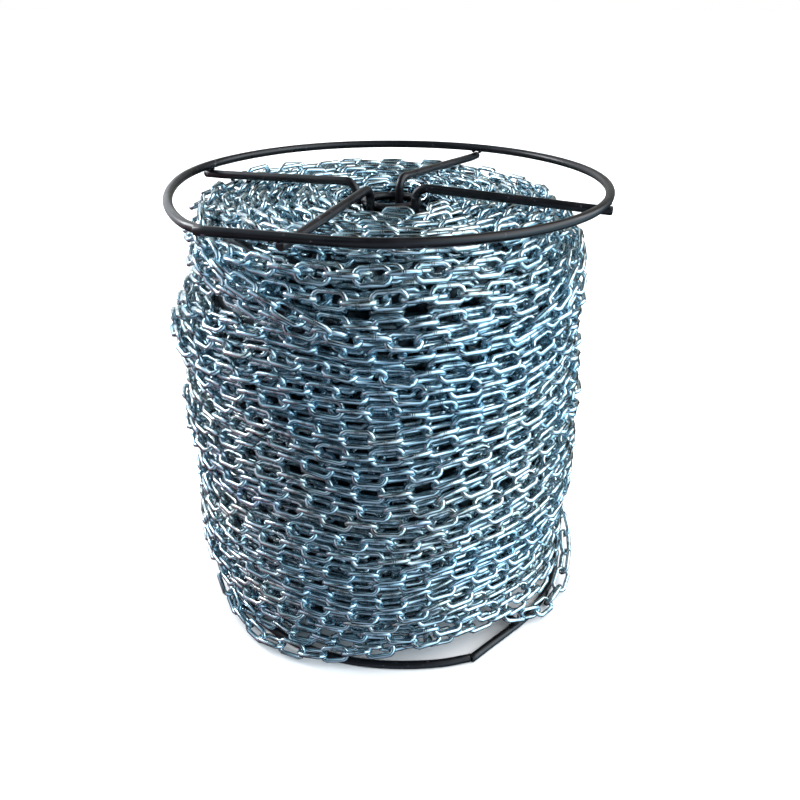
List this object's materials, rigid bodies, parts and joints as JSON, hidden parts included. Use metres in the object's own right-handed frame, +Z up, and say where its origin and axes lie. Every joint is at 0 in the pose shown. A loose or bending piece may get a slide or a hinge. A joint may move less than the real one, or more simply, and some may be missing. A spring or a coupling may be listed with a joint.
{
  "type": "wire reel of steel chain",
  "caption": "Open two-flange reel of bent black wire, wound full with bright zinc-plated short-link steel chain, standing on its lower flange ring.",
  "frame": {"origin": "on the reel's axis, level with the flat under the lower flange ring", "axes": "+Z up along the reel's axis; +X to the right and -Y towards the viewer in the picture's view"},
  "size_m": [0.292, 0.292, 0.3],
  "materials": {
    "black_wire": "semi-gloss black, with purple-grey highlights",
    "zinc_plated_chain": "bright zinc plate with a blue passivated tint"
  },
  "bodies": {
    "root": {"top_ring": "black_wire", "bottom_ring": "black_wire", "hub_ring_top": "black_wire", "hub_ring_bottom": "black_wire", "spoke_wire_left": "black_wire", "spoke_wire_front": "black_wire", "spoke_wire_back": "black_wire", "spoke_wire_right": "black_wire", "chain_coil": "zinc_plated_chain"}
  },
  "joints": []
}
